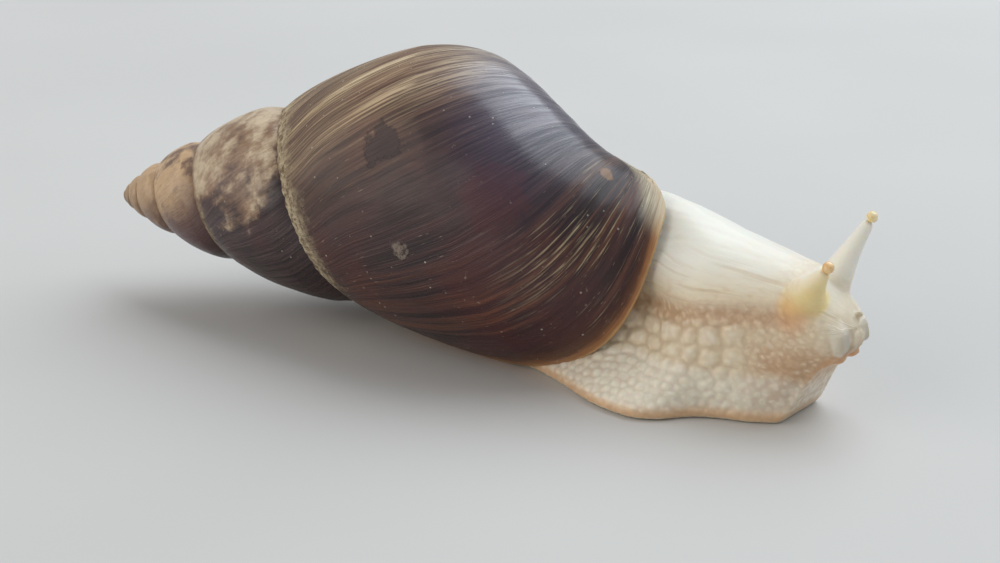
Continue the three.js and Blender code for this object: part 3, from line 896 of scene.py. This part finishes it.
def skin_form(material):
    """The body, collar, feelers and lips grown together into one even mesh."""
    mesh = bmesh.new()
    add_body(mesh)
    add_collar(mesh)
    add_limb(mesh, RIGHT_TENTACLE, RIGHT_RADII)
    add_limb(mesh, LEFT_TENTACLE, LEFT_RADII)
    add_ball(mesh, WART, WART_SIZE)
    for side in (-1, 1):
        add_limb(mesh, feeler_path(side), FEELER_RADII)
        add_ball(mesh, (33.7, side * LIP_SHIFT, 13.7), LIP_SIZE)
    rough = piece("skin_form", mesh, material)
    remesh = rough.modifiers.new("even", "REMESH")
    remesh.mode = "VOXEL"
    remesh.voxel_size = SKIN_CELL * MM
    soften = rough.modifiers.new("soften", "SMOOTH")
    soften.factor = 0.5
    soften.iterations = 4
    bpy.context.view_layer.update()
    data = bpy.data.meshes.new_from_object(rough.evaluated_get(bpy.context.evaluated_depsgraph_get()))
    bpy.data.objects.remove(rough)
    return data


def build_skin(material):
    mesh = bmesh.new()
    mesh.from_mesh(skin_form(material))
    layers = {name: mesh.verts.layers.float.new(name) for name in SKIN_AMOUNTS}
    mesh.normal_update()
    turned = body_back.to_3x3()
    moves = []
    for vertex in mesh.verts:
        rise, amounts = skin_amounts(body_back @ (vertex.co / MM), turned @ vertex.normal)
        moves.append(vertex.normal * rise * MM)
        for name, amount in amounts.items():
            vertex[layers[name]] = amount
    for vertex, move in zip(mesh.verts, moves):
        vertex.co += move
        vertex.co.z = max(vertex.co.z, 0.0)
    made = piece("skin", mesh, material)
    behind_head = made.vertex_groups.new(name="behind_head")
    for vertex in made.data.vertices:
        spot = body_back @ (vertex.co / MM)
        behind_head.add([vertex.index], step(24, 14, spot.x), "REPLACE")
    thin = made.modifiers.new("thin", "DECIMATE")
    thin.ratio = SKIN_KEPT
    thin.vertex_group = behind_head.name
    return made


def build_eye(name, middle, material):
    mesh = bmesh.new()
    place = Matrix.Translation(body_frame @ Vector(middle) * MM)
    bmesh.ops.create_uvsphere(mesh, u_segments=40, v_segments=28, radius=EYE_RADIUS * MM, matrix=place)
    return piece(name, mesh, material)


shell = build_shell(shell_paint())
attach(shell, "root")
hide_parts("shell")

skin = build_skin(skin_paint())
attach(skin, "root")
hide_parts("mantle_collar", "head", "neck", "trunk", "foot_front", "foot_middle", "tail",
            "tentacle_right", "tentacle_left", "feeler_right", "feeler_left", "lip_right", "lip_left")

right_eye = build_eye("eye_bulb_right", RIGHT_EYE, eye_paint("bulb_orange", "e8b878", "f2d29a"))
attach(right_eye, "root")
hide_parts("eye_right")
left_eye = build_eye("eye_bulb_left", LEFT_EYE, eye_paint("bulb_pale", "efd598", "f6e8bd"))
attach(left_eye, "root")
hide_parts("eye_left")


# ---------- Floor, light and camera ----------
def floor_paint():
    paint = Paint("pale_floor")
    tone = paint.blend(paint.grain(paint.place(), 8, 2).smooth(0.3, 0.7), "cbc9c5", "cfcdc9")
    return paint.finish(Base_Color=tone, Roughness=0.8)


ground = bmesh.new()
bmesh.ops.create_grid(ground, x_segments=1, y_segments=1, size=FLOOR_SIZE)
floor = piece("floor", ground, floor_paint())


def add_light(name, place, aim, size, power, tint):
    data = bpy.data.lights.new(name, "AREA")
    data.shape = "RECTANGLE"
    data.size, data.size_y = size
    data.energy = power
    data.color = tint
    lamp = bpy.data.objects.new(name, data)
    bpy.context.scene.collection.objects.link(lamp)
    lamp.location = place
    lamp.rotation_euler = (Vector(aim) - Vector(place)).to_track_quat("-Z", "Y").to_euler()


for light in LIGHTS:
    add_light(*light)

world = bpy.data.worlds.new("soft_room")
world.use_nodes = True
world.node_tree.nodes["Background"].inputs["Color"].default_value = ROOM_TINT
world.node_tree.nodes["Background"].inputs["Strength"].default_value = ROOM_LIGHT
bpy.context.scene.world = world

level = math.cos(CAMERA_RISE)
back = Vector((math.sin(CAMERA_TURN) * level, -math.cos(CAMERA_TURN) * level, math.sin(CAMERA_RISE)))
lens = bpy.data.cameras.new("camera")
lens.lens = CAMERA_LENS
lens.sensor_width = CAMERA_SENSOR
lens.clip_start = 0.01
camera = bpy.data.objects.new("camera", lens)
bpy.context.scene.collection.objects.link(camera)
camera.location = Vector(CAMERA_AIM) * MM + back * CAMERA_DISTANCE
camera.rotation_euler = (math.pi / 2 - CAMERA_RISE, 0, CAMERA_TURN)
bpy.context.scene.camera = camera
bpy.context.scene.view_settings.view_transform = "Standard"
